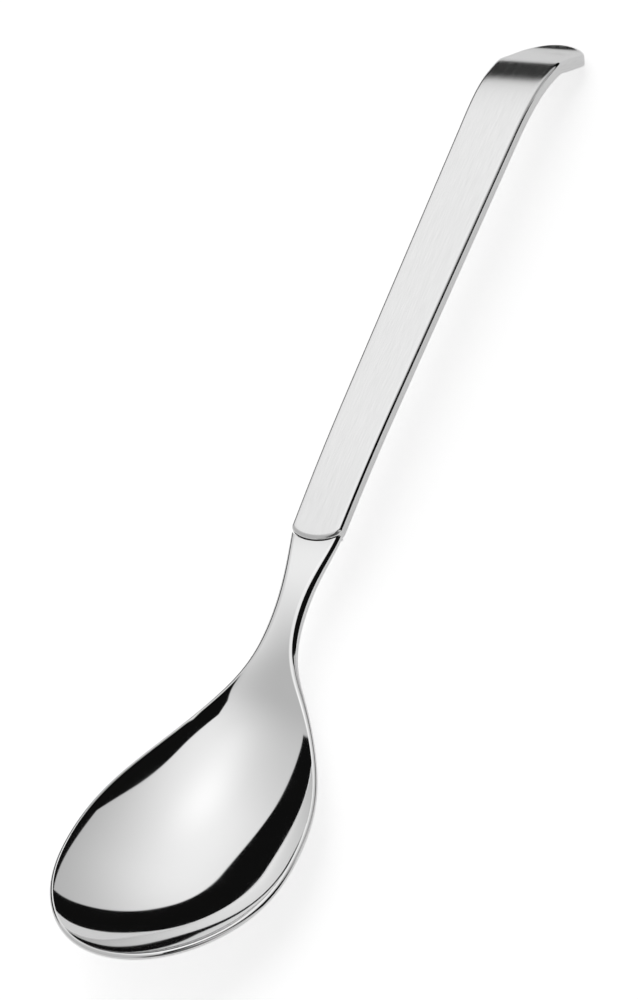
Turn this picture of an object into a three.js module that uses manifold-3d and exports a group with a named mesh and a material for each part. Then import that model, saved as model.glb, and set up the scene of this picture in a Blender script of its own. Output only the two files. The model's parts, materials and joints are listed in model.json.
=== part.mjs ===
// A salad serving spoon with a hollow handle that ends in a hook.
// A polished head, which is a bowl, a neck and a tang in one pressing, sits in a brushed handle of two
// pressed shells. The tang is set in a block of filler inside the front of the handle.
// Millimetres. The spoon is drawn with the joint between neck and handle at x = 0: the bowl lies towards
// -X, the hook towards +X, +Z is up and the spoon is the same on both sides of y = 0.

import * as THREE from 'three';
import { mergeVertices } from 'three/addons/utils/BufferGeometryUtils.js';
import Module from 'manifold-3d';

const wasm = await Module();
wasm.setup();

// Bowl
const BOWL_LENGTH = 111;            // from the tip to the waist of the neck
const BOWL_WIDTH = 60;
const BOWL_DEPTH = 10;              // under the line of the rim, at the deepest place
const BOWL_SHEET = 1.4;             // upright thickness of the bowl's wall at its bottom
const BOWL_FULLNESS = 2.06;         // power of the bowl's hollow across
const LIP_FULLNESS = 11.6;          // power of the steeper lip just inside the rim
const LIP_SHARE = 0.036;            // how much of the depth the lip has
const RIM_EDGE = 1.6;               // height of the rim's edge
const RIM_ROUND = 1;                // how far the rounded edge stands out
const TIP_RISE = 5.8;               // the rim at the tip, above the joint
const RIM_DIP = 8.6;                // the rim's lowest place, below the joint

// Neck
const NECK_LENGTH = 22;             // from the waist to the joint
const NECK_WIDTH = 8.5;             // at the waist
const NECK_THICKNESS = 4;           // at the waist
const NECK_EDGE = 3.6;              // height of the neck's side at the waist
const NECK_EDGE_ROUND = 2;          // how far the rounded side stands out
const NECK_END_EDGE = 2.5;          // height of the side at the joint
const NECK_END_ROUND = 1.4;         // how far the side stands out there
const NECK_DIP = 0.9;               // the neck's top sags this much between the waist and the joint
const THROAT_LENGTH = 12;           // from the throat of the bowl to the waist
const THROAT_DROP = 5;              // the throat's bottom, below the joint
const SHEET_BLEND = 26;             // the sheet starts to thicken this far before the throat

// Handle, measured along its top
const HANDLE_LENGTH = 178;
const HANDLE_FRONT_WIDTH = 13.6;
const HANDLE_HOOK_WIDTH = 17.5;
const HANDLE_EDGE = 2.8;            // height of the side wall
const HOOK_EDGE = 3.1;              // its height on the outer half of the hook
const HOOK_SPREAD = 0.35;           // the handle's half width gains this much in the droop
const HANDLE_CROWN = 3.5;           // bulge of the underside
const HANDLE_SHEET = 0.9;
const HANDLE_TOP_ROUND = 1.1;       // radius of the edge round the top
const NOSE_LENGTH = 2.7;            // the rounded front end reaches this far over the neck
const NOSE_ROUND = 3.7;             // length of the elliptical front end
const HOOK_ROUND = 6.5;             // length of the elliptical hook end

// The run of the handle's top, as the turning of its direction
const RISE_ANGLE = 3.6;             // degrees, upwards at the joint
const RISE_LENGTH = 45;             // the rise has gone at this distance
const DROOP_ANGLE = 19.5;           // degrees, downwards, reached at the start of the hook
const DROOP_LENGTH = 24;            // the droop begins this far before the hook
const HOOK_LENGTH = 26.5;           // from the end of the droop to the end
const HOOK_ANGLE = 38.7;            // degrees, downwards, on the straight of the hook
const CREST_RUN = 7;                // from the start of the hook to the crest of its bend
const BEND_LENGTH = 7;              // half of the bend tightens over this length up to the crest
const FOLD_LENGTH = 1.2;            // the other half is folded in this length beyond it
const FLARE_ANGLE = 38;             // degrees, back up at the very end
const FLARE_LENGTH = 8;
const CROWN_FADE = 40;              // the bulge fades over this length before the hook

// How the pieces fit
const NECK_STEP = 0.55;             // the neck's top lies this far below the handle's top at the joint
const NECK_UNDER_STEP = 0.75;       // and its underside this far above the handle's underside
const NECK_INSET = 0.05;            // the neck's side lies this far inside the handle's side at the joint
const NECK_CORNER_GAP = 0.4;        // the neck's corners stop this far before the joint
const SEAM_GAP = 0.3;               // between the two shells, and between the neck and the handle
const FILLER_GAP = 0.25;            // between the filler and the shells, above and below
const FILLER_SIDE = 1.5;            // free space on each side of the filler
const FILLER_WALL = 1.4;            // filler beside the tang
const FILLER_SKIN = 0.5;            // filler over and under the tang
const FILLER_COVER = 2;             // filler beyond the end of the tang
const TANG_GAP = 0.25;              // round the tang
const TANG_LENGTH = 38;             // from the joint into the handle
const TANG_ROOT = 5;                // how far the tang is rooted in the neck

// Fineness of the surfaces
const HEAD_STEPS = 44;              // from the tip to the joint
const HEAD_ACROSS = 8;              // from the centre line to an edge
const UNDERSIDE_ACROSS = 6;
const EDGE_STEPS = 4;               // round an edge
const END_STEPS = 7;                // round each half of an elliptical end
const PATH_STEPS = 700;
const STATION_RUN = 15;             // longest distance between two stations of the handle
const STATION_TURN = 1.7;           // degrees, the most that the handle turns between two stations
const TANG_STEPS = 10;
const REST_STEPS = 40;              // halvings in the search for the angle of rest
const REST_LIMIT = 15;              // degrees, the largest angle looked at
const TINY = 1e-4;

const degrees = Math.PI / 180;
const mix = (a, b, t) => a + (b - a) * t;
const ease = (x, from, to) => THREE.MathUtils.smoothstep(x, from, to);
const shares = (steps) => Array.from({ length: steps + 1 }, (_, i) => i / steps);

// A clamped cubic B-spline over a list of control values, with evenly spaced knots.
// Every list has the same number of values, so one parameter runs along all of them.
function spline(values) {
  const spans = values.length - 3;
  const knot = (i) => THREE.MathUtils.clamp(i - 3, 0, spans);
  const basis = (i, degree, t) => {
    if (degree === 0) {
      const last = knot(i + 1) === spans && t === spans;
      return (t >= knot(i) && t < knot(i + 1)) || (last && knot(i) < spans) ? 1 : 0;
    }
    const left = knot(i + degree) - knot(i);
    const right = knot(i + degree + 1) - knot(i + 1);
    const a = left > 0 ? ((t - knot(i)) / left) * basis(i, degree - 1, t) : 0;
    const b = right > 0 ? ((knot(i + degree + 1) - t) / right) * basis(i + 1, degree - 1, t) : 0;
    return a + b;
  };
  return (s) => values.reduce((sum, value, i) => sum + value * basis(i, 3, s * spans), 0);
}

// A closed geometry from rings of points, one ring for each station along a piece.
// A ring at an end either folds flat onto the centre plane or is closed with a fan.
function loft(rings) {
  const count = rings[0].length;
  const positions = rings.flat().flatMap((p) => [p.x, p.y, p.z]);
  const index = [];
  for (let i = 0; i + 1 < rings.length; i += 1) {
    for (let j = 0; j < count; j += 1) {
      const k = (j + 1) % count;
      const [a, b, c, d] = [i * count + j, i * count + k, (i + 1) * count + k, (i + 1) * count + j];
      index.push(a, b, c, a, c, d);
    }
  }
  for (const end of [0, rings.length - 1]) {
    const ring = rings[end];
    if (ring.every((p) => Math.abs(p.y) < TINY)) continue;
    const centre = ring.reduce((sum, p) => sum.add(p), new THREE.Vector3()).divideScalar(count);
    const middle = positions.length / 3;
    positions.push(centre.x, centre.y, centre.z);
    for (let j = 0; j < count; j += 1) {
      const pair = [end * count + j, end * count + ((j + 1) % count)];
      if (end === 0) pair.reverse();
      index.push(pair[0], pair[1], middle);
    }
  }
  return closed(positions, index);
}

// Merges equal points, drops triangles that have shrunk to a line and turns the faces outwards.
function closed(positions, index) {
  const loose = new THREE.BufferGeometry();
  loose.setAttribute('position', new THREE.Float32BufferAttribute(positions, 3));
  loose.setIndex(index);
  const geometry = mergeVertices(loose, TINY);
  const old = geometry.index.array;
  const kept = [];
  for (let i = 0; i < old.length; i += 3) {
    const [a, b, c] = [old[i], old[i + 1], old[i + 2]];
    if (a !== b && b !== c && c !== a) kept.push(a, b, c);
  }
  const point = (i) => new THREE.Vector3().fromBufferAttribute(geometry.attributes.position, i);
  let volume = 0;
  for (let i = 0; i < kept.length; i += 3) {
    volume += point(kept[i]).dot(point(kept[i + 1]).cross(point(kept[i + 2])));
  }
  if (volume < 0) kept.reverse();
  geometry.setIndex(kept);
  return geometry;
}

function solid(geometry) {
  return new wasm.Manifold(new wasm.Mesh({
    numProp: 3,
    vertProperties: new Float32Array(geometry.attributes.position.array),
    triVerts: new Uint32Array(geometry.index.array),
  }));
}

function geometryOf(manifold) {
  const mesh = manifold.getMesh();
  const geometry = new THREE.BufferGeometry();
  geometry.setAttribute('position', new THREE.Float32BufferAttribute(mesh.vertProperties, 3));
  geometry.setIndex(Array.from(mesh.triVerts));
  return geometry;
}

// One half of a section, from its top on the centre line, out round the edge and back underneath,
// becomes a whole ring by adding its mirror image.
function wholeRing(half) {
  const mirrored = half.slice(1, -1).reverse().map((p) => new THREE.Vector3(p.x, -p.y, p.z));
  return [...half, ...mirrored];
}

// Head: four lines run along it, each a spline with one parameter from the tip to the joint.
// The bowl's control points are shares of the bowl's length, of its half width, of the rim's height from
// its lowest place up to the tip, and of the bowl's depth.
const bowlPlan = [
  { along: 0, wide: 0, high: 1, deep: 0 },
  { along: 0, wide: 0.383, high: 1, deep: 0.0725 },
  { along: 0.137, wide: 0.933, high: 0.68, deep: 0.763 },
  { along: 0.334, wide: 1.033, high: 0.49, deep: 0.997 },
  { along: 0.512, wide: 0.933, high: 0.25, deep: 0.932 },
  { along: 0.68, wide: 0.627, high: 0, deep: 0.418 },
  { along: 0.8, wide: 0.367, high: 0, deep: 0.185 },
];
const tipX = -(NECK_LENGTH + BOWL_LENGTH);
const bowlLine = bowlPlan.map(({ along, wide, high, deep }) => {
  const rim = mix(-RIM_DIP, TIP_RISE, high);
  const keel = rim - deep * BOWL_DEPTH;
  return { x: tipX + along * BOWL_LENGTH, halfWidth: (wide * BOWL_WIDTH) / 2, rim, keel };
});

// The neck's control points start at the throat, where the bowl has closed up, and end at the joint.
const throatX = -NECK_LENGTH - THROAT_LENGTH;
const neckEndHalf = HANDLE_FRONT_WIDTH / 2 - NECK_INSET;
const neckEndThickness = HANDLE_EDGE + HANDLE_CROWN - NECK_STEP - NECK_UNDER_STEP;
const neckTop = -NECK_STEP;
const neckLine = [
  { x: throatX, halfWidth: 0.52 * NECK_WIDTH, top: -THROAT_DROP },
  { x: -0.68 * NECK_LENGTH, halfWidth: 0.45 * NECK_WIDTH, top: neckTop - NECK_DIP },
  { x: -0.18 * NECK_LENGTH, halfWidth: 0.94 * neckEndHalf, top: neckTop - NECK_DIP },
  { x: -NECK_CORNER_GAP, halfWidth: neckEndHalf, top: neckTop },
].map(({ x, halfWidth, top }) => ({ x, halfWidth, rim: top, keel: top }));

const headPoints = [...bowlLine, ...neckLine];
const headLine = {
  x: spline(headPoints.map((point) => point.x)),
  halfWidth: spline(headPoints.map((point) => point.halfWidth)),
  rim: spline(headPoints.map((point) => point.rim)),
  keel: spline(headPoints.map((point) => point.keel)),
};

function headStation(s) {
  const x = headLine.x(s);
  const halfWidth = headLine.halfWidth(s);
  const [before, after] = [Math.max(0, s - TINY), Math.min(1, s + TINY)];
  const run = headLine.x(after) - headLine.x(before);
  const rise = headLine.halfWidth(after) - headLine.halfWidth(before);
  const length = Math.hypot(run, rise);
  const outward = s === 0 ? [-1, 0] : [-rise / length, run / length];
  const neckShare = ease(x, throatX - SHEET_BLEND, -NECK_LENGTH);
  const endShare = ease(x, -NECK_LENGTH, 0);
  const edge = mix(mix(RIM_EDGE, NECK_EDGE, neckShare), NECK_END_EDGE, endShare);
  const wall = mix(RIM_EDGE, BOWL_SHEET, ease(x, tipX, tipX + BOWL_LENGTH / 4));
  const middle = mix(mix(wall, NECK_THICKNESS, neckShare), neckEndThickness, endShare);
  const round = mix(mix(RIM_ROUND, NECK_EDGE_ROUND, neckShare), NECK_END_ROUND, endShare);
  return { x, halfWidth, outward, edge, middle, round, rim: headLine.rim(s), keel: headLine.keel(s) };
}

// A section of the head: its top from the keel to the rim, the rounded edge, and its underside.
const hollow = (v) => mix(v ** BOWL_FULLNESS, v ** LIP_FULLNESS, LIP_SHARE);

function headRing(s) {
  const at = headStation(s);
  const innerX = at.x - at.round * at.outward[0];
  const innerY = Math.max(0, at.halfWidth - at.round * at.outward[1]);
  const across = shares(HEAD_ACROSS).map((share) => Math.sin((Math.PI / 2) * share));
  const surface = (keel, rim) => across.map((v) => (
    new THREE.Vector3(innerX, innerY * v, mix(keel, rim, hollow(v)))
  ));
  const top = surface(at.keel, at.rim);
  const under = surface(at.keel - at.middle, at.rim - at.edge);
  const edge = shares(EDGE_STEPS).slice(1, -1).map((share) => {
    const out = at.round * Math.sin(Math.PI * share);
    const height = at.rim - (at.edge / 2) * (1 - Math.cos(Math.PI * share));
    const y = s === 0 ? 0 : innerY + out * at.outward[1];
    return new THREE.Vector3(innerX + out * at.outward[0], y, height);
  });
  return wholeRing([...top, ...edge, ...under.reverse()]);
}

// Handle: its top runs along a path whose direction turns from point to point.
const hookStart = HANDLE_LENGTH - HOOK_LENGTH;
const droopStart = hookStart - DROOP_LENGTH;
const crest = hookStart + CREST_RUN;

function heading(l) {
  const droop = THREE.MathUtils.clamp((l - droopStart) / DROOP_LENGTH, 0, 1) ** 2;
  const tightening = THREE.MathUtils.clamp((l - crest) / BEND_LENGTH + 1, 0, 1) ** 3;
  const bend = (tightening + ease(l, crest, crest + FOLD_LENGTH)) / 2;
  const flare = ease(l, HANDLE_LENGTH - FLARE_LENGTH, HANDLE_LENGTH + FLARE_LENGTH / 2);
  const rise = RISE_ANGLE * (1 - ease(l, 0, RISE_LENGTH));
  const fall = DROOP_ANGLE * droop + (HOOK_ANGLE - DROOP_ANGLE) * bend;
  return (rise - fall + FLARE_ANGLE * flare) * degrees;
}

const pathStep = HANDLE_LENGTH / PATH_STEPS;
const path = [new THREE.Vector2(0, 0)];
for (let i = 0; i < PATH_STEPS; i += 1) {
  const angle = heading((i + 0.5) * pathStep);
  const step = new THREE.Vector2(Math.cos(angle), Math.sin(angle)).multiplyScalar(pathStep);
  path.push(path[i].clone().add(step));
}

// The place of a point l along the handle's top, y to the side and n above it.
function onHandle(l, y, n) {
  const i = THREE.MathUtils.clamp(Math.floor(l / pathStep), 0, PATH_STEPS - 1);
  const along = path[i].clone().lerp(path[i + 1], l / pathStep - i);
  const angle = heading(l);
  return new THREE.Vector3(along.x - n * Math.sin(angle), y, along.y + n * Math.cos(angle));
}

function halfWidthAt(l) {
  const taper = mix(HANDLE_FRONT_WIDTH, HANDLE_HOOK_WIDTH, l / HANDLE_LENGTH) / 2;
  return taper + HOOK_SPREAD * ease(l, droopStart, hookStart);
}

// Stations of the outline round one end of the handle, which is half an ellipse, from its tip to its sides.
function ovalEnd(centre, reach, side) {
  const half = halfWidthAt(centre);
  return shares(END_STEPS).map((share) => {
    const turn = (Math.PI / 2) * share;
    const slope = new THREE.Vector2((side * Math.cos(turn)) / reach, Math.sin(turn) / half).normalize();
    return { l: centre + side * reach * Math.cos(turn), halfWidth: half * Math.sin(turn), outward: slope };
  });
}

// Stations of the tapered sides, closer together where the handle turns.
function sideStations(from, to) {
  const stations = [];
  let [lastPlace, turned] = [from, 0];
  for (let l = from + pathStep; l < to - pathStep; l += pathStep) {
    turned += Math.abs(heading(l) - heading(l - pathStep));
    if (turned >= STATION_TURN * degrees || l - lastPlace >= STATION_RUN) {
      stations.push({ l, halfWidth: halfWidthAt(l), outward: new THREE.Vector2(0, 1) });
      [lastPlace, turned] = [l, 0];
    }
  }
  return stations;
}

const frontEnd = NOSE_ROUND - NOSE_LENGTH;
const hookEnd = HANDLE_LENGTH - HOOK_ROUND;
const noseOutline = ovalEnd(frontEnd, NOSE_ROUND, -1);
const hookOutline = ovalEnd(hookEnd, HOOK_ROUND, 1).reverse();
const outline = [...noseOutline, ...sideStations(frontEnd, hookEnd), ...hookOutline];

// The height of the side wall, and how far the underside bulges below it at a place on the handle.
const edgeAt = (l) => mix(HANDLE_EDGE, HOOK_EDGE, ease(l, hookStart, hookStart + HOOK_LENGTH / 2));
const shellInset = HANDLE_SHEET + SEAM_GAP;
function bulge(l, y) {
  const along = 1 - ease(l, hookStart - CROWN_FADE, hookStart);
  return HANDLE_CROWN * along * Math.max(0, 1 - (y / (halfWidthAt(l) - shellInset)) ** 2);
}

// A body over stations of the handle's outline. Its rows run from the top edge to the bottom edge, each
// with its inset from the outline, and those between the two edges with their height. The top and the
// underside are heights over the plan.
function overOutline(stations, across, rows, topHeight, underHeight) {
  return solid(loft(stations.map((station) => {
    const place = (inset, share, height) => {
      const l = station.l - inset * station.outward.x;
      const onCentreLine = station.halfWidth < TINY;
      const y = onCentreLine ? 0 : Math.max(0, station.halfWidth - inset * station.outward.y) * share;
      return onHandle(l, y, height(l, y));
    };
    const top = shares(across).map((share) => place(rows[0].inset, share, topHeight));
    const side = rows.slice(1, -1).map((row) => place(row.inset, 1, row.height));
    const under = shares(across).map((share) => place(rows[rows.length - 1].inset, share, underHeight));
    return wholeRing([...top, ...side, ...under.reverse()]);
  })));
}

const level = (height) => () => height;
const upright = (inset) => [{ inset }, { inset }];

// Top shell: a shallow pan, open below, with a rounded edge round its top.
function topShellBody() {
  const rows = shares(EDGE_STEPS).map((share) => {
    const turn = (Math.PI / 2) * share;
    return {
      inset: HANDLE_TOP_ROUND * (1 - Math.sin(turn)),
      height: level(-HANDLE_TOP_ROUND * (1 - Math.cos(turn))),
    };
  });
  rows.push({ inset: 0 });
  return overOutline(outline, 1, rows, level(0), (l) => -edgeAt(l));
}

function topShellCavity() {
  const below = (l) => -edgeAt(l) - HANDLE_SHEET;
  return overOutline(outline, 1, upright(HANDLE_SHEET), level(-HANDLE_SHEET), below);
}

// Bottom shell: a crowned plate let in between the walls of the top shell.
const shellUnderside = (l, y) => -edgeAt(l) - bulge(l, y);
const shellFloor = (l, y) => shellUnderside(l, y) + HANDLE_SHEET;

// The tang and the filler take their size from the room between the two shells at the front.
const fillerHalf = halfWidthAt(0) - shellInset - FILLER_SIDE;
const socketHalf = fillerHalf - FILLER_WALL;
const socketTop = -HANDLE_SHEET - FILLER_GAP - FILLER_SKIN;
const socketBottom = shellFloor(0, socketHalf) + FILLER_GAP + FILLER_SKIN;
const tangEnd = -NOSE_LENGTH - TANG_ROOT;

// A straight-sided bar along the handle, between two heights.
function bar(from, to, half, topHeight, underHeight) {
  const across = [0, half / 2, half];
  return solid(loft(shares(TANG_STEPS).map((share) => {
    const l = mix(from, to, share);
    const top = across.map((y) => onHandle(l, y, topHeight(l, y)));
    const under = across.map((y) => onHandle(l, y, underHeight(l, y)));
    return wholeRing([...top, ...under.reverse()]);
  })));
}

// The neck is cut to the nose of the handle: its upper part stops before the wall of the top shell, and its
// lower part reaches on under that wall up to the bottom shell.
function spoonHead() {
  const body = solid(loft(shares(HEAD_STEPS).map(headRing)));
  const reach = neckEndThickness + HANDLE_CROWN;
  const wallFoot = -HANDLE_EDGE - SEAM_GAP;
  const wallRoom = overOutline(noseOutline, 1, upright(-SEAM_GAP), level(reach), level(wallFoot));
  const plateRoom = overOutline(noseOutline, 1, upright(shellInset - SEAM_GAP), level(reach), level(-2 * reach));
  const [top, under] = [level(socketTop - TANG_GAP), level(socketBottom + TANG_GAP)];
  const tang = bar(tangEnd, TANG_LENGTH, socketHalf - TANG_GAP, top, under);
  return geometryOf(body.subtract(wallRoom).subtract(plateRoom).add(tang));
}

function handleTopShell() {
  const notch = bar(tangEnd, NOSE_ROUND, socketHalf, level(socketTop), level(-HANDLE_EDGE - HANDLE_SHEET));
  return geometryOf(topShellBody().subtract(topShellCavity()).subtract(notch));
}

function handleBottomShell() {
  return geometryOf(overOutline(outline, UNDERSIDE_ACROSS, upright(shellInset), shellFloor, shellUnderside));
}

function tangFiller() {
  const front = frontEnd + HANDLE_SHEET;
  const floor = (l, y) => shellFloor(l, y) + FILLER_GAP;
  const block = bar(front, TANG_LENGTH + FILLER_COVER, fillerHalf, level(-HANDLE_SHEET - FILLER_GAP), floor);
  const socketEnd = TANG_LENGTH + TANG_GAP;
  const socket = bar(front - FILLER_COVER, socketEnd, socketHalf, level(socketTop), level(socketBottom));
  return geometryOf(block.subtract(socket));
}

const polishedSteel = new THREE.MeshStandardMaterial({ color: 0xdcdddd, roughness: 0.06, metalness: 1 });
const brushedSteel = new THREE.MeshStandardMaterial({ color: 0xcfd0d0, roughness: 0.34, metalness: 1 });
const fillerCement = new THREE.MeshStandardMaterial({ color: 0x8f8a80, roughness: 0.9, metalness: 0 });

const spoon = new THREE.Group();
function addPiece(name, geometry, material) {
  const mesh = new THREE.Mesh(geometry, material);
  mesh.name = name;
  spoon.add(mesh);
}
addPiece('spoon_head', spoonHead(), polishedSteel);
addPiece('handle_top_shell', handleTopShell(), brushedSteel);
addPiece('handle_bottom_shell', handleBottomShell(), brushedSteel);
addPiece('tang_filler', tangFiller(), fillerCement);

// The spoon lies on the bottom of its bowl and on the end of its hook: it is turned about Y until both
// are equally low, then stood on z = 0 with the middle of its length at x = 0.
function lowest(angle, side) {
  let low = Infinity;
  spoon.children.forEach((mesh) => {
    const place = mesh.geometry.attributes.position;
    for (let i = 0; i < place.count; i += 1) {
      if (Math.sign(place.getX(i)) !== side) continue;
      low = Math.min(low, place.getZ(i) * Math.cos(angle) - place.getX(i) * Math.sin(angle));
    }
  });
  return low;
}
let [flatter, steeper] = [-REST_LIMIT * degrees, REST_LIMIT * degrees];
for (let i = 0; i < REST_STEPS; i += 1) {
  const middle = (flatter + steeper) / 2;
  if (lowest(middle, 1) > lowest(middle, -1)) flatter = middle;
  else steeper = middle;
}
spoon.rotation.y = (flatter + steeper) / 2;

const part = new THREE.Group();
part.add(spoon);
part.updateMatrixWorld(true);
const box = new THREE.Box3().setFromObject(spoon, true);
spoon.position.set(-(box.min.x + box.max.x) / 2, 0, -box.min.z);

export default part;
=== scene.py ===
# %% [markdown]
# # A salad serving spoon in polished and brushed steel
# The real spoon is two finishes side by side: a head pressed from sheet and polished like a mirror, and a
# hollow handle brushed along its length. A mirror shows every flaw in a surface, so the faceted solids of
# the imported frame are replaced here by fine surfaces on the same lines, each worked out as whole arrays.

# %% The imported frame
import json
import math

import bmesh
import bpy
import numpy as np
from mathutils import Matrix, Vector


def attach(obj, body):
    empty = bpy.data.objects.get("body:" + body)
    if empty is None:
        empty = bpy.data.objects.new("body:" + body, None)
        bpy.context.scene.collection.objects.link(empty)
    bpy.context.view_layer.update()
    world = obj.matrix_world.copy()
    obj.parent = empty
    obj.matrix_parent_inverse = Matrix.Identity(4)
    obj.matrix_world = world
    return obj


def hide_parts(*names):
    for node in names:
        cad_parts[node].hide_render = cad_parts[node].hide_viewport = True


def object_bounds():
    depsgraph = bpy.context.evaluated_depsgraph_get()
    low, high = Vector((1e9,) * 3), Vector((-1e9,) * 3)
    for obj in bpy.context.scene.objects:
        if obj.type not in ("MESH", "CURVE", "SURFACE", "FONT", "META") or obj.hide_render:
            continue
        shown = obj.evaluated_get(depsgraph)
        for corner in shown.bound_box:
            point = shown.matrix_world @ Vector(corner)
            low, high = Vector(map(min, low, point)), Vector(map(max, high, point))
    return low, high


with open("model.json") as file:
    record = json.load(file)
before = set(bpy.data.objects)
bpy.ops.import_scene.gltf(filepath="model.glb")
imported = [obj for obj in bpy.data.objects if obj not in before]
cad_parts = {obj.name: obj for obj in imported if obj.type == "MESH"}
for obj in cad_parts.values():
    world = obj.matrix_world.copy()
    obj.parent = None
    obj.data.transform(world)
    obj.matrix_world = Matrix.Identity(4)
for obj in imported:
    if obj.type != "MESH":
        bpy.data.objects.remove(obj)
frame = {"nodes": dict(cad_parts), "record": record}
cad_low, cad_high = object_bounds()
MM = 0.001
print("nodes:", sorted(frame["nodes"]))

# %% [markdown]
# ## Where the spoon lies
# It is easiest to draw a spoon from the joint between its neck and its handle: bowl towards -X, hook
# towards +X, in millimetres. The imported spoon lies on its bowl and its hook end, a little tilted. The flat
# run of the handle is a mount in the record, so its direction gives the tilt, its height gives the lift, and
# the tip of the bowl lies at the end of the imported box. The handle's run comes first, because the flat is
# on it.

# %% The run of the handle's top
HANDLE_LENGTH = 178
RISE_ANGLE, RISE_LENGTH = 3.6, 45           # degrees up at the joint, gone at this distance
DROOP_ANGLE, DROOP_LENGTH = 19.5, 24        # degrees down, and how far before the hook they begin
HOOK_ANGLE, HOOK_LENGTH = 38.7, 26.5        # degrees down on the hook, and its length from the droop
CREST_RUN, BEND_LENGTH, FOLD_LENGTH = 7, 7, 1.2      # half of the bend before its crest, half beyond
FLARE_ANGLE, FLARE_LENGTH = 38, 8           # degrees back up at the very end
PATH_START = -12                            # the run is carried on this far in front of the joint
PATH_STEPS = 6000
hook_start = HANDLE_LENGTH - HOOK_LENGTH
droop_start = hook_start - DROOP_LENGTH
crest = hook_start + CREST_RUN


def mix(a, b, share):
    """A value on the straight way from a to b."""
    return a + (b - a) * share


def ease(x, start, end):
    """The smooth step 3t^2 - 2t^3, with t running from 0 at start to 1 at end."""
    t = np.clip((x - start) / (end - start), 0, 1)
    return t * t * (3 - 2 * t)


def heading(l):
    """Direction of the handle's top in radians: a rise that fades, less a droop and a bend, plus a flare.
    The bend tightens with the third power up to its crest and is folded just beyond it."""
    droop = np.clip((l - droop_start) / DROOP_LENGTH, 0, 1) ** 2
    tightening = np.clip((l - crest) / BEND_LENGTH + 1, 0, 1) ** 3
    bend = (tightening + ease(l, crest, crest + FOLD_LENGTH)) / 2
    flare = ease(l, HANDLE_LENGTH - FLARE_LENGTH, HANDLE_LENGTH + FLARE_LENGTH / 2)
    rise = RISE_ANGLE * (1 - ease(l, 0, RISE_LENGTH))
    fall = DROOP_ANGLE * droop + (HOOK_ANGLE - DROOP_ANGLE) * bend
    return np.radians(rise - fall + FLARE_ANGLE * flare)


path_l = np.linspace(PATH_START, HANDLE_LENGTH, PATH_STEPS + 1)
middle_heading = heading((path_l[1:] + path_l[:-1]) / 2)
path_x = np.concatenate([[0], np.cumsum(np.diff(path_l) * np.cos(middle_heading))])
path_z = np.concatenate([[0], np.cumsum(np.diff(path_l) * np.sin(middle_heading))])
path_x -= np.interp(0, path_l, path_x)
path_z -= np.interp(0, path_l, path_z)


def on_handle(l, y, n):
    """The point l along the handle's top, y to the side and n above it, as whole arrays."""
    angle = heading(l)
    x = np.interp(l, path_l, path_x) - n * np.sin(angle)
    z = np.interp(l, path_l, path_z) + n * np.cos(angle)
    return np.stack(np.broadcast_arrays(x, y, z), -1)


print("the hook end lies", round(float(path_z[-1]), 2), "mm above the joint")

# %% From the spoon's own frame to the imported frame
BOWL_LENGTH, NECK_LENGTH = 111, 22
TIP_RISE, RIM_EDGE = 5.8, 1.6               # the rim at the tip, above the joint, and the height of its edge
tip_x = -(NECK_LENGTH + BOWL_LENGTH)
flat = frame["record"]["mounts"][0]
flat_at, flat_axis = np.array(flat["pos_m"]) / MM, np.array(flat["axis"])
tilt = math.atan2(flat_axis[0], flat_axis[2])
turn_to_rest = np.array([
    [math.cos(tilt), 0, math.sin(tilt)],
    [0, 1, 0],
    [-math.sin(tilt), 0, math.cos(tilt)],
])
tip = turn_to_rest @ np.array([tip_x, 0, TIP_RISE - RIM_EDGE / 2])
flat_middle = turn_to_rest @ on_handle(np.array((RISE_LENGTH + droop_start) / 2), 0, 0)
shift_x = cad_low[0] / MM - tip[0]
climb = -math.tan(tilt) * (flat_at[0] - flat_middle[0] - shift_x)
shift = np.array([shift_x, 0, flat_at[2] - flat_middle[2] - climb])


def laid(points):
    """Points of the spoon's own frame, in millimetres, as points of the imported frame, in metres."""
    return (points @ turn_to_rest.T + shift) * MM


print("tilt", round(math.degrees(tilt), 3), "degrees, shift", shift.round(3), "mm")

# %% [markdown]
# ## Skins from rings
# Every piece here is a row of closed rings, one ring for each station along the piece. The rings could be
# bridged one by one with Blender's own tools, but an array of all the points gives all the faces at once.
# At a rounded end the ring folds flat onto the middle plane, so the doubled points there are welded. Edges
# that turn sharply stay crisp, and everything else is shaded smooth.

# %% A closed mesh over rings
WELD = 1e-7                                 # metres
CRISP_ANGLE = 40                            # degrees


def mirrored(half):
    """Whole rings from half rings that start and end on the middle plane: the copy has y turned round."""
    other = half[:, -2:0:-1].copy()
    other[..., 1] *= -1
    return np.concatenate([half, other], 1)


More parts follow.
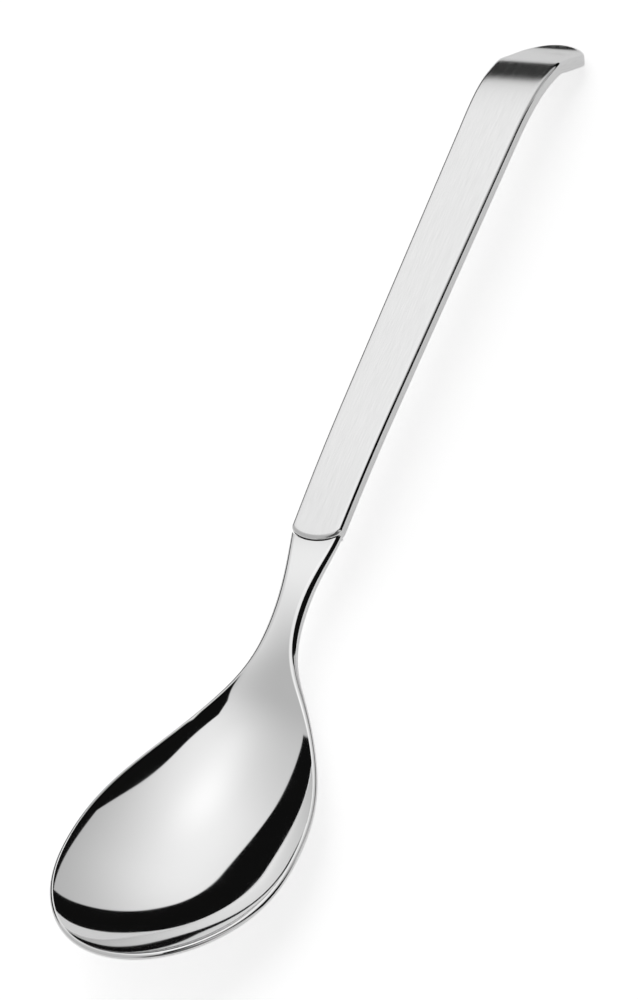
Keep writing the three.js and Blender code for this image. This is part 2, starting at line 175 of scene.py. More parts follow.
def skin(name, rings, grain=None, shine=None, caps=()):
    """A mesh on rings[i, j], point j of ring i: each face joins two neighbours on two neighbouring rings."""
    stations, count = rings.shape[:2]
    i, j = np.meshgrid(np.arange(stations - 1), np.arange(count), indexing="ij")
    k = (j + 1) % count
    corners = [i * count + j, i * count + k, (i + 1) * count + k, (i + 1) * count + j]
    faces = np.stack(corners, -1).reshape(-1, 4).tolist() + list(caps)
    mesh = bpy.data.meshes.new(name)
    mesh.from_pydata(laid(rings.reshape(-1, 3)).tolist(), [], faces)
    if grain is not None:
        corner_points = np.empty(len(mesh.loops), np.int32)
        mesh.loops.foreach_get("vertex_index", corner_points)
        layer = mesh.uv_layers.new(name="grain")
        layer.data.foreach_set("uv", grain.reshape(-1, 2)[corner_points].ravel())
    if shine is not None:
        layer = mesh.attributes.new("edge_shine", "FLOAT", "POINT")
        layer.data.foreach_set("value", np.broadcast_to(shine, rings.shape[:2]).ravel())
    made = bmesh.new()
    made.from_mesh(mesh)
    bmesh.ops.remove_doubles(made, verts=made.verts, dist=WELD)
    bmesh.ops.dissolve_degenerate(made, edges=made.edges, dist=WELD)
    bmesh.ops.recalc_face_normals(made, faces=made.faces)
    loose = sum(not edge.is_manifold for edge in made.edges)
    made.to_mesh(mesh)
    made.free()
    mesh.shade_smooth()
    mesh.set_sharp_from_angle(angle=math.radians(CRISP_ANGLE))
    piece = bpy.data.objects.new(name, mesh)
    bpy.context.scene.collection.objects.link(piece)
    mesh.calc_loop_triangles()
    print(name, len(mesh.loop_triangles), "triangles,", loose, "open edges")
    return piece


print("edges that turn by more than", CRISP_ANGLE, "degrees stay crisp")

# %% [markdown]
# ## The head
# Bowl, neck and tang are one pressing. A mirror needs a surface whose bending changes without a jump, so
# the plan, the rim and the keel are each one cubic B-spline from the tip to the joint, and a section
# rises from the keel to the rim by a power of the way across, nearly a parabola. In the neck the keel and
# the rim meet, so its top is flat, and the edge there grows into a round side. Scaling a sphere would be
# quicker, but it has the wrong rim and no neck. The tang is hidden in the handle, so it isn't drawn.

# %% Lines of the head
BOWL_WIDTH, BOWL_DEPTH, BOWL_SHEET = 60, 10, 1.4
BOWL_FULLNESS = 2.06                        # power of the section across
LIP_FULLNESS, LIP_SHARE = 11.6, 0.036       # power of the steeper lip inside the rim, and its share
RIM_ROUND, RIM_DIP = 1, 8.6                 # reach of the rounded edge, and the rim's lowest below the joint
NECK_WIDTH, NECK_THICKNESS = 8.5, 4
NECK_EDGE, NECK_EDGE_ROUND = 3.6, 2         # height and reach of the round side at the waist
NECK_END_EDGE, NECK_END_ROUND = 2.5, 1.4    # the same at the joint
NECK_DIP, THROAT_DROP = 0.9, 5              # sag of the neck's top, and the throat's bottom below the joint
THROAT_LENGTH, SHEET_BLEND = 12, 26         # from bowl to neck, and where the sheet thickens before it
HANDLE_FRONT_WIDTH, HANDLE_HOOK_WIDTH = 13.6, 17.5
HANDLE_EDGE, HANDLE_CROWN, HANDLE_SHEET = 2.8, 3.5, 0.9     # its wall, its bulge underneath and its sheet
NOSE_LENGTH, NOSE_ROUND, HOOK_ROUND = 2.7, 3.7, 6.5         # the nose before the joint, and its oval ends
NECK_STEP, NECK_UNDER_STEP = 0.55, 0.75     # from the handle down to the neck, and up to it underneath
NECK_INSET, NECK_CORNER_GAP = 0.05, 0.4     # its sides inside the handle's, and its corners before the joint
SEAM_GAP = 0.3

bowl_plan = np.array([                      # shares of the length, half width, rim height and depth
    [0, 0, 1, 0],
    [0, 0.383, 1, 0.0725],
    [0.137, 0.933, 0.68, 0.763],
    [0.334, 1.033, 0.49, 0.997],
    [0.512, 0.933, 0.25, 0.932],
    [0.68, 0.627, 0, 0.418],
    [0.8, 0.367, 0, 0.185],
])
throat_x = -(NECK_LENGTH + THROAT_LENGTH)
bowl_rim = mix(-RIM_DIP, TIP_RISE, bowl_plan[:, 2])
neck_end_half = HANDLE_FRONT_WIDTH / 2 - NECK_INSET
neck_end_thickness = HANDLE_EDGE + HANDLE_CROWN - NECK_STEP - NECK_UNDER_STEP
neck_top = -NECK_STEP
neck_line = np.array([                      # place, half width, and side and middle of the neck's top
    [throat_x, 0.52 * NECK_WIDTH, -THROAT_DROP, -THROAT_DROP],
    [-0.68 * NECK_LENGTH, 0.45 * NECK_WIDTH, neck_top - NECK_DIP, neck_top - NECK_DIP],
    [-0.18 * NECK_LENGTH, 0.94 * neck_end_half, neck_top - NECK_DIP, neck_top - NECK_DIP],
    [0, neck_end_half, neck_top, neck_top],
])
bowl_line = np.stack([
    tip_x + bowl_plan[:, 0] * BOWL_LENGTH,
    bowl_plan[:, 1] * BOWL_WIDTH / 2,
    bowl_rim,
    bowl_rim - bowl_plan[:, 3] * BOWL_DEPTH,
], 1)
head_controls = np.concatenate([bowl_line, neck_line])


def spline(controls, s):
    """A clamped cubic B-spline with even knots: each control weighs in with its basis, which the usual
    recursion builds up from steps, as s runs from 0 to 1 along the line."""
    spans = len(controls) - 3
    knots = np.clip(np.arange(len(controls) + 4) - 3, 0, spans)
    t = np.minimum(np.asarray(s, float)[..., None] * spans, spans * (1 - 1e-12))
    basis = ((t >= knots[:-1]) & (t < knots[1:])).astype(float)
    for degree in (1, 2, 3):
        left = knots[degree:-1] - knots[:-degree - 1]
        right = knots[degree + 1:] - knots[1:-degree]
        rising = np.where(left > 0, (t - knots[:-degree - 1]) / np.maximum(left, 1), 0)
        falling = np.where(right > 0, (knots[degree + 1:] - t) / np.maximum(right, 1), 0)
        basis = rising * basis[..., :-1] + falling * basis[..., 1:]
    return basis @ controls


print("the head's lines have", len(head_controls), "control points")

# %% The surface of the head
HEAD_STATIONS, HEAD_ACROSS, HEAD_EDGE = 300, 36, 32
SLOPE_STEP = 1e-4


def head_surface(s, v, turn):
    """Point of the head at s along it. The inner line of the rim lies one edge round inside the plan;
    v goes from the middle to it, on top where turn is 0 and underneath where turn is pi, and between them
    turn goes round the edge as half an ellipse. On top z goes from keel to rim by v^power, and for a small
    share by a much higher power, which is the lip."""
    x, half, rim, keel = np.moveaxis(spline(head_controls, s), -1, 0)
    before = spline(head_controls[:, :2], np.maximum(s - SLOPE_STEP, 0))
    after = spline(head_controls[:, :2], np.minimum(s + SLOPE_STEP, 1))
    run, rise = np.moveaxis(after - before, -1, 0)
    length = np.hypot(run, rise)
    out_x, out_y = -rise / length, run / length
    neck_share = ease(x, throat_x - SHEET_BLEND, -NECK_LENGTH)
    end_share = ease(x, -NECK_LENGTH, 0)
    wall = mix(RIM_EDGE, BOWL_SHEET, ease(x, tip_x, tip_x + BOWL_LENGTH / 4))
    edge = mix(mix(RIM_EDGE, NECK_EDGE, neck_share), NECK_END_EDGE, end_share)
    middle = mix(mix(wall, NECK_THICKNESS, neck_share), neck_end_thickness, end_share)
    reach = mix(mix(RIM_ROUND, NECK_EDGE_ROUND, neck_share), NECK_END_ROUND, end_share)
    inner_half = np.where(s <= 0, 0, np.maximum(half - reach * out_y, 0))
    out = reach * (np.sin(turn) - 1)
    y = np.where(s <= 0, 0, inner_half * v + reach * np.sin(turn) * out_y)
    hollow = mix(v ** BOWL_FULLNESS, v ** LIP_FULLNESS, LIP_SHARE)
    top = mix(keel, rim, hollow)
    under = mix(keel - middle, rim - edge, hollow)
    side = rim - edge / 2 * (1 - np.cos(turn))
    z = np.where(turn <= 0, top, np.where(turn >= math.pi, under, side))
    return np.stack([x + out * out_x, y, z], -1)


across = np.sin(np.linspace(0, math.pi / 2, HEAD_ACROSS + 1))
round_edge = np.linspace(0, math.pi, HEAD_EDGE + 1)[1:-1]
column_v = np.concatenate([across, np.ones(HEAD_EDGE - 1), across[::-1]])
column_turn = np.concatenate([0 * across, round_edge, 0 * across + math.pi])
print("half a ring of the head has", len(column_v), "points")

# %% Where the neck stops
HALVINGS = 40                               # of the search for the place, enough for the last digit
wall_foot = -HANDLE_EDGE - SEAM_GAP


def neck_end(y, z, under_wall):
    """Where the neck stops: short of the handle's nose, half an ellipse grown by the seam, which leans
    with the rise of the handle, and never past the corners at the joint. Its low part reaches on under
    the wall of the top shell, up to the bottom shell."""
    grown = SEAM_GAP - np.where(under_wall, HANDLE_SHEET, 0)
    oval = np.sqrt(np.maximum(0, 1 - (y / (HANDLE_FRONT_WIDTH / 2 + grown)) ** 2))
    nose = NOSE_ROUND - NOSE_LENGTH - (NOSE_ROUND + grown) * oval
    return np.minimum(nose - z * math.tan(math.radians(RISE_ANGLE)), -NECK_CORNER_GAP)


least, most = 0.5 * np.ones(len(column_v)), np.ones(len(column_v))
for halving in range(HALVINGS):
    last = (least + most) / 2
    x, y, z = np.moveaxis(head_surface(last, column_v, column_turn), -1, 0)
    short = x < neck_end(y, z, z < wall_foot)
    least, most = np.where(short, last, least), np.where(short, most, last)

stations = np.linspace(0, 1, HEAD_STATIONS + 1)[:, None] * last
half_rings = head_surface(stations, column_v[None], column_turn[None])
shelf = half_rings[-1].copy()
shelf[:, 0] = neck_end(shelf[:, 1], wall_foot, shelf[:, 2] < wall_foot)
shelf[:, 2] = wall_foot
head_rings = mirrored(np.concatenate([half_rings, shelf[None]]))
print("the neck stops between", last.min().round(4), "and", last.max().round(4), "of the head's lines")

# %% Faces that close the end of the neck
half_count, ring_count = len(column_v), head_rings.shape[1]
side_point = half_count // 2
above = np.arange(side_point)
below = half_count - 1 - above
strip = np.stack([above[:-1], above[1:], below[1:], below[:-1]], 1)
side_face = np.array([[side_point - 1, side_point, side_point + 1]])
last_ring = (HEAD_STATIONS + 1) * ring_count
end_faces = []
for faces in (strip, side_face):
    other_side = (ring_count - faces[:, ::-1]) % ring_count
    end_faces += (last_ring + np.concatenate([faces, other_side])).tolist()
head = skin("polished_head", head_rings, caps=end_faces)

# %% [markdown]
# ## The handle
# Two pressed shells make the handle: a shallow pan on top and a crowned plate let in from below. Both
# follow one outline, a taper with an elliptical nose and an elliptical hook end. A profile of insets and
# heights is carried round that outline, so the small rounding along the top edge, which catches the light
# as a thin line, is part of the surface and not a bevel added afterwards.

# %% Outline of the handle
END_STATIONS, SIDE_STATIONS = 40, 300
HOOK_EDGE, HOOK_SPREAD = 3.1, 0.35          # height of the wall on the hook, and a little more width
front_end, hook_end = NOSE_ROUND - NOSE_LENGTH, HANDLE_LENGTH - HOOK_ROUND


def half_width(l):
    """Half of the handle's width: a straight taper, which spreads a little in the droop."""
    taper = mix(HANDLE_FRONT_WIDTH, HANDLE_HOOK_WIDTH, l / HANDLE_LENGTH) / 2
    return taper + HOOK_SPREAD * ease(l, droop_start, hook_start)


def edge_height(l):
    """Height of the side wall, which grows with a smooth step up to the middle of the hook."""
    return mix(HANDLE_EDGE, HOOK_EDGE, ease(l, hook_start, hook_start + HOOK_LENGTH / 2))


def oval_end(centre, reach, side):
    """Stations round an elliptical end from its tip: place, half width and the outward direction."""
    turn = np.linspace(0, math.pi / 2, END_STATIONS + 1)
    half = half_width(centre)
    slope = np.stack([side * np.cos(turn) / reach, np.sin(turn) / half], 1)
    slope /= np.linalg.norm(slope, axis=1, keepdims=True)
    slope[0, 1] = 0
    return np.column_stack([centre + side * reach * np.cos(turn), half * np.sin(turn), slope])


side_l = np.linspace(front_end, hook_end, SIDE_STATIONS)[1:-1]
sides = np.column_stack([side_l, half_width(side_l), 0 * side_l, 0 * side_l + 1])
outline = np.concatenate([
    oval_end(front_end, NOSE_ROUND, -1), sides, oval_end(hook_end, HOOK_ROUND, 1)[::-1],
])


def over_outline(inset, share, height):
    """Half rings over the outline, after their places along the handle: inset from it, then a share of the
    way out from the middle, at a height over the handle's top, which is a function of the place."""
    l = outline[:, 0, None] - inset * outline[:, 2, None]
    y = np.maximum(0, outline[:, 1, None] - inset * outline[:, 3, None]) * share
    y[outline[:, 1] <= 0] = 0
    return l, on_handle(l, y, height(l, y))


def grain_map(l, half):
    """Lengthwise and crosswise place on the metal, in metres: l along it, and the way round the section
    from the middle of the shown face, negative on the mirrored side."""
    way = np.cumsum(np.linalg.norm(np.diff(half[..., 1:], axis=1), axis=-1), axis=1)
    way = np.concatenate([np.zeros((len(half), 1)), way], 1)
    whole_l = np.concatenate([l, l[:, -2:0:-1]], 1)
    return np.stack([whole_l, np.concatenate([way, -way[:, -2:0:-1]], 1)], -1) * MM


print("the outline has", len(outline), "stations")

# %% Runs of a profile
FLAT_STEPS = 8
flat_shares = np.linspace(0, 1, FLAT_STEPS)


def flat_run(inset, shares, height):
    """Rows of a profile at one inset and one height, with shares of the way out from the middle."""
    return np.column_stack([0 * shares + inset, shares, 0 * shares + height])


def corner(inset, height, radius, start, steps):
    """Rows of a profile on a quarter circle of insets and heights, all the way out, turning clockwise from
    start, in quarter turns."""
    turn = (start + np.linspace(0, 1, steps + 1)) * math.pi / 2
    return np.column_stack([inset - radius * np.sin(turn), 0 * turn + 1, height + radius * np.cos(turn)])


print("a flat run has", FLAT_STEPS, "points from the middle to its edge")

# %% The pan on top
HANDLE_TOP_ROUND, ROUND_STEPS = 1.1, 12     # radius of the edge round the top
SHINE_STEPS = 3                             # the brushing ends this many steps into that edge
FOLD_ROUND, FOLD_STEPS = 0.15, 4            # radius of the cut edges
FILLER_GAP, FILLER_SIDE, FILLER_WALL, FILLER_SKIN = 0.25, 1.5, 1.4, 0.5
shell_inset = HANDLE_SHEET + SEAM_GAP
socket_half = half_width(0) - shell_inset - FILLER_SIDE - FILLER_WALL
socket_top = -HANDLE_SHEET - FILLER_GAP - FILLER_SKIN
fold_height = -HANDLE_EDGE + FOLD_ROUND
pan_profile = np.concatenate([
    flat_run(HANDLE_TOP_ROUND, flat_shares[:-1], 0),
    corner(HANDLE_TOP_ROUND, -HANDLE_TOP_ROUND, HANDLE_TOP_ROUND, 0, ROUND_STEPS),
    corner(FOLD_ROUND, fold_height, FOLD_ROUND, 1, FOLD_STEPS),
    corner(HANDLE_SHEET - FOLD_ROUND, fold_height, FOLD_ROUND, 2, FOLD_STEPS),
    flat_run(HANDLE_SHEET, flat_shares[::-1], -HANDLE_SHEET),
])


def pan_height(l, y):
    """Heights of the pan's profile, with the notch that lets the tang through the wall of the nose."""
    notch = (l < NOSE_ROUND) & (np.abs(y) < socket_half)
    folds = pan_profile[:, 2] < -max(HANDLE_TOP_ROUND, HANDLE_SHEET)
    height = pan_profile[:, 2] - folds * (edge_height(l) - HANDLE_EDGE)
    return np.where(notch, np.maximum(height, socket_top), height)


pan_l, pan_half = over_outline(pan_profile[:, 0], pan_profile[:, 1], pan_height)
past_flat = np.arange(len(pan_profile)) - (FLAT_STEPS - 1)
pan_shine = np.clip(past_flat / SHINE_STEPS, 0, 1)
pan_shine = np.concatenate([pan_shine, pan_shine[-2:0:-1]])
handle_top = skin("brushed_handle_top", mirrored(pan_half), grain_map(pan_l, pan_half), pan_shine)

# %% The plate below
CROWN_FADE = 40                             # the underside's bulge fades out over this run before the bend
plate_profile = np.concatenate([
    flat_run(shell_inset + FOLD_ROUND, flat_shares[:-1], 0),
    corner(shell_inset + FOLD_ROUND, FOLD_ROUND, FOLD_ROUND, 1, FOLD_STEPS)[::-1],
    flat_run(shell_inset, flat_shares[::-1], HANDLE_SHEET),
])


def bulge(l, y):
    """How far the underside bulges: a parabola across, which fades out before the bend."""
    along = 1 - ease(l, hook_start - CROWN_FADE, hook_start)
    return HANDLE_CROWN * along * np.maximum(0, 1 - (y / (half_width(l) - shell_inset)) ** 2)


def plate_height(l, y):
    """Heights of the plate: its own profile over the crowned underside."""
    return -edge_height(l) - bulge(l, y) + plate_profile[:, 2]


plate_l, plate_half = over_outline(plate_profile[:, 0], plate_profile[:, 1], plate_height)
handle_under = skin("brushed_handle_underside", mirrored(plate_half), grain_map(plate_l, plate_half))

# %% [markdown]
# ## Finishes
# Both finishes are the same stainless steel. Polishing leaves a mirror with the faintest clouding, and
# brushing leaves fine scratches along the handle, which spread a reflection sideways but keep it sharp
# along the length. The brushing stops at the edges, which are buffed. A picture of scratches could be laid
# on the handle, but stretched noise has no seams and is drawn as fine as it needs to be. The filler inside
# the handle is a dull cast cement.

# %% Colours, nodes and materials
NOISE_SPAN = {"From Min": 0.3, "From Max": 0.7}      # nearly all values of a noise lie between these


def colour(code):
    """An sRGB hex colour as linear red, green, blue and alpha."""
    parts = np.array([int(code[i:i + 2], 16) / 255 for i in (1, 3, 5)])
    linear = np.where(parts <= 0.04045, parts / 12.92, ((parts + 0.055) / 1.055) ** 2.4)
    return (*linear.tolist(), 1.0)


def add(tree, kind, inputs=None, **settings):
    """Adds a node with its settings; an input is a value for its socket or a link to it."""
    node = tree.nodes.new("ShaderNode" + kind)
    for key, value in settings.items():
        setattr(node, key, value)
    for key, value in (inputs or {}).items():
        if isinstance(value, bpy.types.NodeSocket):
            tree.links.new(value, node.inputs[key])
        else:
            node.inputs[key].default_value = value
    return node


def new_material(name):
    """An empty node material and its tree."""
    material = bpy.data.materials.new(name)
    material.use_nodes = True
    material.node_tree.nodes.clear()
    return material, material.node_tree


print("mid grey #808080 is", round(colour("#808080")[0], 3), "as linear light")

# %% Polished stainless steel
CLOUD_SIZE = 9 * MM                         # faint clouds left by the polishing mop
MIRROR_ROUGHNESS = (0.03, 0.055)


def polished_stainless_steel():
    """Mirror-polished steel: almost no roughness, with faint clouds where the mop lingered."""
    material, tree = new_material("stainless_steel_mirror_polished")
    place = add(tree, "TexCoord").outputs["Object"]
    clouds = add(tree, "TexNoise", {"Vector": place, "Scale": 1 / CLOUD_SIZE, "Detail": 3.0})
    rough = add(tree, "MapRange", {
        "Value": clouds.outputs["Fac"], **NOISE_SPAN,
        "To Min": MIRROR_ROUGHNESS[0], "To Max": MIRROR_ROUGHNESS[1],
    })
    steel = add(tree, "BsdfPrincipled", {
        "Base Color": colour("#E6E6E6"), "Metallic": 1.0, "Roughness": rough.outputs["Result"],
    })
    add(tree, "OutputMaterial", {"Surface": steel.outputs["BSDF"]})
    return material


head.data.materials.append(polished_stainless_steel())
print("head:", head.data.materials[0].name)

# %% Brushed stainless steel
LINE_WIDTH, LINE_LENGTH = 0.28 * MM, 6 * MM      # brush lines, drawn wider than the real 0.1 mm to show
LINE_RELIEF, LINE_DEPTH = 0.05, 0.02 * MM        # how strongly they bend the light, and how deep they are
BLUR_WIDTH, BLUR_LENGTH = 1.6 * MM, 22 * MM      # paler and darker strokes that groups of lines make
BLUR_SHARE = 0.25                                # weight of these strokes against the lines
BRUSHED_ROUGHNESS, EDGE_ROUGHNESS = (0.13, 0.22), 0.045      # on and between the lines, and where buffed
SPREAD, QUARTER_TURN = 0.95, 0.25                # reflections spread across the lines, not along them


def brushed_stainless_steel():
    """Steel brushed along the handle: long fine lines that change roughness, tone and relief together.
    Its edges and sides are buffed, so they stay clear of lines and mirror nearly as well as the bowl."""
    material, tree = new_material("stainless_steel_brushed_lengthwise")
    place = add(tree, "UVMap", uv_map="grain").outputs["UV"]
    edge = add(tree, "Attribute", attribute_name="edge_shine").outputs["Fac"]
    strokes = []
    for width, length in ((LINE_WIDTH, LINE_LENGTH), (BLUR_WIDTH, BLUR_LENGTH)):
        grain = add(tree, "Mapping", {"Vector": place, "Scale": (1 / length, 1 / width, 1)})
        stroke = add(tree, "TexNoise", {"Vector": grain.outputs["Vector"], "Scale": 1.0, "Detail": 3.0})
        strokes.append(stroke.outputs["Fac"])
    lines = add(tree, "Mix", {0: BLUR_SHARE, 2: strokes[0], 3: strokes[1]}).outputs[0]
    rough = add(tree, "MapRange", {
        "Value": lines, **NOISE_SPAN, "To Min": BRUSHED_ROUGHNESS[0], "To Max": BRUSHED_ROUGHNESS[1],
    })
    rough = add(tree, "Mix", {0: edge, 2: rough.outputs["Result"], 3: EDGE_ROUGHNESS}).outputs[0]
    tone = add(tree, "MixRGB", {"Fac": lines, "Color1": colour("#D0D0D0"), "Color2": colour("#EEEEEE")})
    depth = add(tree, "MapRange", {"Value": edge, "To Min": LINE_RELIEF, "To Max": 0.0}).outputs["Result"]
    relief = add(tree, "Bump", {"Height": strokes[0], "Strength": depth, "Distance": LINE_DEPTH})
    tangent = add(tree, "Tangent", direction_type="UV_MAP", uv_map="grain")
    steel = add(tree, "BsdfPrincipled", {
        "Base Color": tone.outputs["Color"], "Metallic": 1.0, "Roughness": rough,
        "Anisotropic": SPREAD, "Anisotropic Rotation": QUARTER_TURN, "Tangent": tangent.outputs["Tangent"],
        "Normal": relief.outputs["Normal"],
    })
    add(tree, "OutputMaterial", {"Surface": steel.outputs["BSDF"]})
    return material


brushed_steel = brushed_stainless_steel()
handle_top.data.materials.append(brushed_steel)
handle_under.data.materials.append(brushed_steel)
print("handle:", brushed_steel.name)

# %% Cast cement
CEMENT_GRAIN, CEMENT_RELIEF, CEMENT_DEPTH = 0.6 * MM, 0.4, 0.1 * MM      # of its sand


def cast_cement():
    """Dull grey resin cement with sandy grains, which never shows while the handle is whole."""
    material, tree = new_material("resin_cement_cast")
    place = add(tree, "TexCoord").outputs["Object"]
    sand = add(tree, "TexNoise", {"Vector": place, "Scale": 1 / CEMENT_GRAIN, "Detail": 5.0})
    tone = add(tree, "MixRGB", {
        "Fac": sand.outputs["Fac"], "Color1": colour("#7C776D"), "Color2": colour("#A09A8E"),
    })
    relief = add(tree, "Bump", {
        "Height": sand.outputs["Fac"], "Strength": CEMENT_RELIEF, "Distance": CEMENT_DEPTH,
    })
    cement = add(tree, "BsdfPrincipled", {
        "Base Color": tone.outputs["Color"], "Roughness": 0.9, "Normal": relief.outputs["Normal"],
    })
    add(tree, "OutputMaterial", {"Surface": cement.outputs["BSDF"]})
    return material


filler = frame["nodes"]["tang_filler"]
filler.data.materials.clear()
filler.data.materials.append(cast_cement())
print("filler:", filler.data.materials[0].name)

# %% [markdown]
# ## The pieces on the frame
# Each skin stands for one imported solid, moves with the one body and hides the solid it stands for.

# %% Riding and replacing
for piece, node, slot in (
    (head, "spoon_head", "polished_steel"),
    (handle_top, "handle_top_shell", "brushed_steel"),
    (handle_under, "handle_bottom_shell", "brushed_steel"),
):
    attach(piece, "root")
    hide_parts(node)

# %% [markdown]
# ## Studio
# Polished metal is only as good as what it mirrors, so the studio is drawn with some care, though nothing in
# it is seen directly. It is a tent of pale cloth over a white floor, with a long soft lamp behind the cloth
# and a dim open side where the camera stands. A dark beam under its roof, an open doorway and a low dark
# wall across from the camera draw the bands that give the bowl, the neck and the bend of the handle their
# form. Lamps and boards round the spoon could do the same, but a few directions in the world's nodes are
# easier to place.

# %% Floor
FLOOR_HALF = 4.0                            # metres
FLOOR_DROP = 0.1 * MM                       # keeps the floor just clear of the steel
FLOOR_LIFT = 0.63                           # own light, which makes the floor white where no shadow falls
FLOOR_IN_METAL = 0.5                        # share of it in the steel, which mirrors the shaded floor


def pale_floor():
    """Matt white: the shadow stays, and a little own light lifts it to white in the camera and in metal."""
    material, tree = new_material("floor_matt_white")
    path = add(tree, "LightPath").outputs
    metal = add(tree, "Math", {0: path["Is Glossy Ray"], 1: FLOOR_IN_METAL}, operation="MULTIPLY")
    seen = add(tree, "Math", {0: path["Is Camera Ray"], 1: metal.outputs[0]}, operation="MAXIMUM")
    seen = add(tree, "Math", {0: seen.outputs[0], 1: path["Is Transmission Ray"]}, operation="MAXIMUM")
    lift = add(tree, "Math", {0: seen.outputs[0], 1: FLOOR_LIFT}, operation="MULTIPLY")
    matt = add(tree, "BsdfDiffuse", {"Color": colour("#E8E8E8")})
    glow = add(tree, "Emission", {"Color": colour("#FFFFFF"), "Strength": lift.outputs[0]})
    both = add(tree, "AddShader", {0: matt.outputs["BSDF"], 1: glow.outputs["Emission"]})
    add(tree, "OutputMaterial", {"Surface": both.outputs["Shader"]})
    return material


floor_mesh = bpy.data.meshes.new("floor")
floor_corners = np.array([[-1, -1, 0], [1, -1, 0], [1, 1, 0], [-1, 1, 0]]) * FLOOR_HALF
floor_corners[:, 2] = -FLOOR_DROP
floor_mesh.from_pydata(floor_corners.tolist(), [], [[0, 1, 2, 3]])
floor_mesh.materials.append(pale_floor())
floor = bpy.data.objects.new("floor", floor_mesh)
bpy.context.scene.collection.objects.link(floor)
print("floor", 2 * FLOOR_HALF, "m square")

# %% Tent and lamp
TENT_LIGHT = 0.57                           # brightness of the cloth away from the lamp
LAMP_AT, LAMP_TURN = (25, 51.5), 25         # degrees: azimuth and elevation of its middle, and its turn
LAMP_REACH, LAMP_LIGHT = (0.72, 1.82), 0.54      # half sizes on a sphere of radius 1, and what it adds
CORE_AT, CORE_REACH, CORE_LIGHT = (28, 60), (0.36, 0.36), 0.13     # its brightest part
ROOM_AT, ROOM_REACH, ROOM_LIGHT = (-141.5, 32), (0.75, 0.75), 0.12   # the open side, where the camera stands
ROOM_SOFT = 0.6                             # the depth in that spot from which it is dimmest
FAR = 1e6                                   # keeps a spot from ending in depth

world = bpy.data.worlds.new("studio")
bpy.context.scene.world = world
world.use_nodes = True
studio = world.node_tree
studio.nodes.clear()
direction = add(studio, "TexCoord").outputs["Generated"]


def way_into_spot(at, turn, reach):
    """How deep a direction lies in an oval spot, 1 in its middle and 0 at its edge: the direction is taken
    on the spot's own axes, divided by its half sizes, and its length is taken from 1."""
    azimuth, elevation, turn = (math.radians(angle) for angle in (*at, turn))
    middle = np.array([math.cos(azimuth), math.sin(azimuth), math.tan(elevation)]) * math.cos(elevation)
    level = np.array([-math.sin(azimuth), math.cos(azimuth), 0])
    upward = np.cross(middle, level)
    first = math.cos(turn) * level + math.sin(turn) * upward
    axes = Matrix(np.stack([first, np.cross(middle, first), middle], 1).tolist())
    own = add(studio, "Mapping", {
        "Vector": direction, "Rotation": axes.to_euler(), "Scale": (*reach, FAR),
    }, vector_type="TEXTURE").outputs["Vector"]
    return add(studio, "TexGradient", {"Vector": own}, gradient_type="SPHERICAL").outputs["Fac"]


lamp = add(studio, "MapRange", {
    "Value": way_into_spot(LAMP_AT, LAMP_TURN, LAMP_REACH),
    "To Min": TENT_LIGHT, "To Max": TENT_LIGHT + LAMP_LIGHT,
}, interpolation_type="SMOOTHSTEP").outputs["Result"]
core = add(studio, "MapRange", {
    "Value": way_into_spot(CORE_AT, 0, CORE_REACH), "To Max": CORE_LIGHT,
}, interpolation_type="SMOOTHSTEP").outputs["Result"]
light = add(studio, "Math", {0: lamp, 1: core}, operation="ADD").outputs[0]
room = add(studio, "MapRange", {
    "Value": way_into_spot(ROOM_AT, 0, ROOM_REACH), "From Max": ROOM_SOFT,
}, interpolation_type="SMOOTHSTEP").outputs["Result"]
light = add(studio, "Mix", {0: room, 2: light, 3: ROOM_LIGHT}).outputs[0]
print("tent with a lamp behind its cloth and a dim open side")

# %% Dark beam
DARK_SOFT = 0.015                           # width of a soft edge
BEAM_BEND_X, BEAM_BEND_Y = (0.07, 0.92), (-0.09, -0.8)   # bends of the beam's edge, at unit height
BEAM_END_X, BEAM_END_Y = (-0.49, -0.09), (-0.27, -0.09)   # where its near end slants away
BEAM_FAR_Y = (-0.47, -1.1)                  # its far edge, at the same bends
HORIZON = 1e-3                              # least height that a direction is taken to have


def soft_edge(depth):
    """How much of a dark shape shows at a depth inside it: a straight ramp from 0 to 1 at DARK_SOFT."""
    return add(studio, "MapRange", {"Value": depth, "From Max": DARK_SOFT}).outputs["Result"]


height = add(studio, "SeparateXYZ", {"Vector": direction}).outputs["Z"]
lifted = add(studio, "Math", {0: height, 1: HORIZON}, operation="MAXIMUM").outputs[0]
plan = add(studio, "VectorMath", {0: direction, 1: lifted}, operation="DIVIDE").outputs["Vector"]
plan_x, plan_y, _ = add(studio, "SeparateXYZ", {"Vector": plan}).outputs
beam_edges = []
for x, y in ((BEAM_BEND_X, BEAM_BEND_Y), (BEAM_END_X, BEAM_END_Y), (BEAM_BEND_X, BEAM_FAR_Y)):
    beam_edges.append(add(studio, "MapRange", {
        "Value": plan_x, "From Min": x[0], "From Max": x[1], "To Min": y[0], "To Max": y[1],
    }).outputs["Result"])
near_edge = add(studio, "Math", {0: beam_edges[0], 1: beam_edges[1]}, operation="MINIMUM").outputs[0]
past_near = add(studio, "Math", {0: near_edge, 1: plan_y}, operation="SUBTRACT").outputs[0]
before_far = add(studio, "Math", {0: plan_y, 1: beam_edges[2]}, operation="SUBTRACT").outputs[0]
print("a dark beam with", len(beam_edges), "straight edges")

# %% Open doorway
DOOR_FROM, DOOR_TO = -82, -49               # degrees of azimuth


def past_azimuth(degrees, side):
    """How far a direction lies past an upright plane: its dot product with the plane's level normal, which
    points on to a larger azimuth where side is 1 and back where it is -1."""
    angle = math.radians(degrees)
    normal = (-side * math.sin(angle), side * math.cos(angle), 0)
    return add(studio, "VectorMath", {0: direction, 1: normal}, operation="DOT_PRODUCT").outputs["Value"]


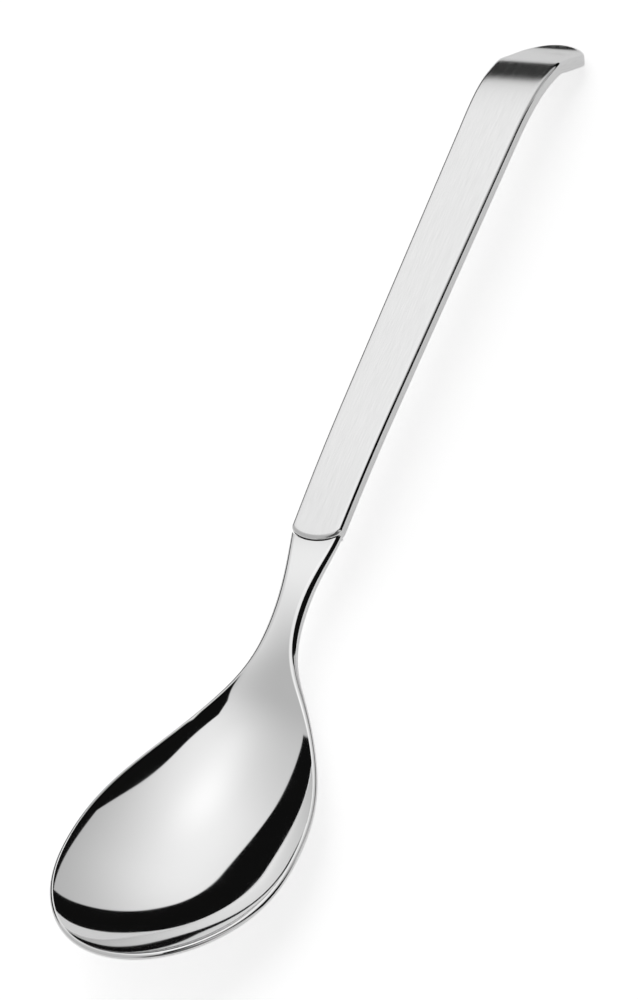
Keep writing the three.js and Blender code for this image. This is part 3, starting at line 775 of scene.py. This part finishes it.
in_door = add(studio, "Math", {
    0: past_azimuth(DOOR_FROM, 1), 1: past_azimuth(DOOR_TO, -1),
}, operation="MINIMUM").outputs[0]
beam_or_door = add(studio, "Math", {
    0: soft_edge(before_far), 1: soft_edge(in_door),
}, operation="MAXIMUM").outputs[0]
overhead = add(studio, "Math", {0: soft_edge(past_near), 1: beam_or_door}, operation="MULTIPLY").outputs[0]
print("a doorway", DOOR_TO - DOOR_FROM, "degrees wide, below the beam")

# %% Low wall
WALL_AZIMUTH, WALL_TOP = 43.4, 0.377        # degrees, and the tangent of its top straight ahead
WALL_END = 73.5                             # degrees of azimuth

angle = math.radians(WALL_AZIMUTH)
wall_slope = (WALL_TOP * math.cos(angle), WALL_TOP * math.sin(angle), -1)
below_top = add(studio, "VectorMath", {
    0: direction, 1: wall_slope,
}, operation="DOT_PRODUCT").outputs["Value"]
in_wall = add(studio, "Math", {0: below_top, 1: past_azimuth(WALL_END, -1)}, operation="MINIMUM").outputs[0]
dark = add(studio, "Math", {0: overhead, 1: soft_edge(in_wall)}, operation="MAXIMUM").outputs[0]
print("a low wall", round(math.degrees(math.atan(WALL_TOP)), 1), "degrees high")

# %% All of the studio's light
DARK_LIGHT = 0.0055                         # what the dark shapes still give
WHITE = 1.0                                 # what the camera sees behind the floor

light = add(studio, "Mix", {0: dark, 2: light, 3: DARK_LIGHT}).outputs[0]
camera_ray = add(studio, "LightPath").outputs["Is Camera Ray"]
seen_light = add(studio, "Mix", {0: camera_ray, 2: light, 3: WHITE}).outputs[0]
tent = add(studio, "Background", {"Color": colour("#FFFFFF"), "Strength": seen_light})
add(studio, "OutputWorld", {"Surface": tent.outputs["Background"]})
print("the studio has", len(studio.nodes), "nodes")

# %% [markdown]
# ## Camera
# The view looks down along the spoon from in front of the bowl, turned so that the handle runs up to the
# right. A long lens from well away keeps the spoon's own proportions.

# %% The photograph's view
IMAGE_HEIGHT, FOCAL_PIXELS = 1000, 7164
SENSOR = 36                                 # millimetres
CAMERA_AT = (-938.2, -749.7, 1247.0)        # in the spoon's own frame, millimetres
AZIMUTH, ELEVATION, ROLL = (math.radians(a) for a in (-141.546, 45.88, 24.19))

back = np.array([
    math.cos(ELEVATION) * math.cos(AZIMUTH), math.cos(ELEVATION) * math.sin(AZIMUTH), math.sin(ELEVATION),
])
level_right = np.array([-math.sin(AZIMUTH), math.cos(AZIMUTH), 0])
level_up = np.cross(back, level_right)
right = math.cos(ROLL) * level_right - math.sin(ROLL) * level_up
up = math.cos(ROLL) * level_up + math.sin(ROLL) * level_right
camera_data = bpy.data.cameras.new("camera")
camera_data.sensor_width = SENSOR
camera_data.lens = FOCAL_PIXELS / IMAGE_HEIGHT * SENSOR
camera_data.clip_start, camera_data.clip_end = 0.05, 50
camera = bpy.data.objects.new("camera", camera_data)
bpy.context.scene.collection.objects.link(camera)
axes = np.stack([right, up, back]) @ turn_to_rest.T
place = Matrix.Translation(Vector(laid(np.array(CAMERA_AT))))
camera.matrix_world = place @ Matrix(axes.T.tolist()).to_4x4()
bpy.context.scene.camera = camera
bpy.context.scene.view_settings.view_transform = "Standard"
print("camera at", [round(c, 3) for c in camera.location])

# %% [markdown]
# ## Size
# The dressed spoon is meant to keep the size of the imported one, whose box is printed.

# %% The imported box, and the end
print("packed", [round(v, 4) for v in cad_high - cad_low])
